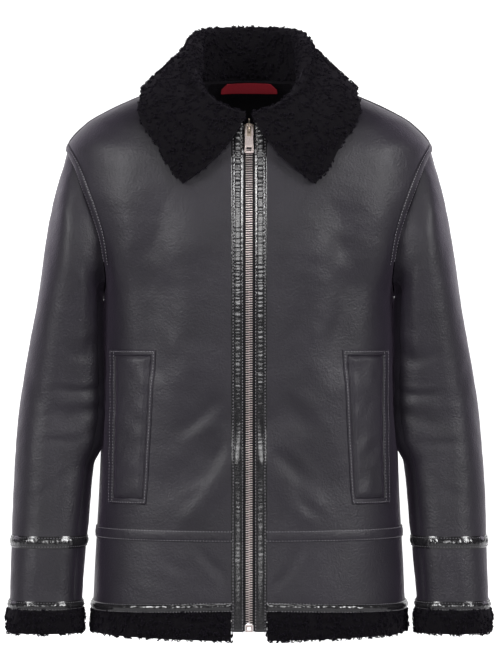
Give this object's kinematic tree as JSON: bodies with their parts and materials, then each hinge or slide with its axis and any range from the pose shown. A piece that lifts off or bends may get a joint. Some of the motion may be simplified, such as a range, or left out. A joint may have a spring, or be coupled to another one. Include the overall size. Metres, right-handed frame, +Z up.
{
  "type": "shearling-trim leather jacket",
  "caption": "Dark leather zip jacket with curly shearling collar, hem and cuffs, welt pockets and glazed leather tapes, in its worn hollow shape.",
  "frame": {"origin": "middle of the base of the neck, between the shoulders, where the wearer holds the jacket up", "axes": "+Z up, -Y to the front of the jacket, +X to the wearer's left"},
  "size_m": [0.6036, 0.2674, 0.7649],
  "materials": {
    "leather": "fine-grained matt nappa with a soft sheen",
    "glazed_leather": "glossy glazed leather tape, puckered by its stitching",
    "shearling_wool": "dense curly wool",
    "zip_metal": "polished silver-coloured zip metal",
    "zip_tape": "woven zip tape with metal teeth",
    "label_cloth": "red woven satin label, left bare"
  },
  "bodies": {
    "jacket": {"armhole_tape_left": "glazed_leather", "armhole_tape_right": "glazed_leather", "back": "leather", "band_back": "leather", "band_left": "leather", "band_right": "leather", "collar": "shearling_wool", "cuff_fur_left": "shearling_wool", "cuff_fur_right": "shearling_wool", "cuff_panel_left": "leather", "cuff_panel_right": "leather", "cuff_tape_high_left": "glazed_leather", "cuff_tape_high_right": "glazed_leather", "cuff_tape_low_left": "glazed_leather", "cuff_tape_low_right": "glazed_leather", "front_left": "leather", "front_right": "leather", "hem_fur": "shearling_wool", "hem_tape_back": "glazed_leather", "hem_tape_left": "glazed_leather", "hem_tape_right": "glazed_leather", "neck_label": "label_cloth", "pocket_frame_left": "leather", "pocket_frame_right": "leather", "pocket_welt_left": "leather", "pocket_welt_right": "leather", "shoulder_tape_left": "leather", "shoulder_tape_right": "leather", "sleeve_under_left": "leather", "sleeve_under_right": "leather", "sleeve_upper_left": "leather", "sleeve_upper_right": "leather", "waist_tape_back": "glazed_leather", "waist_tape_left": "glazed_leather", "waist_tape_right": "glazed_leather", "zip_box": "zip_metal", "zip_chain": "zip_tape", "zip_facing_left": "glazed_leather", "zip_facing_right": "glazed_leather", "zip_slider": "zip_metal"},
    "pull_tab": {"zip_pull": "zip_metal"}
  },
  "joints": [
    {"name": "pull_tab_swing", "type": "hinge", "parent": "jacket", "child": "pull_tab", "pos_m": [0, -0.10833, -0.0395], "axis": [-1, 0, 0], "range_deg": [0, 120]}
  ]
}
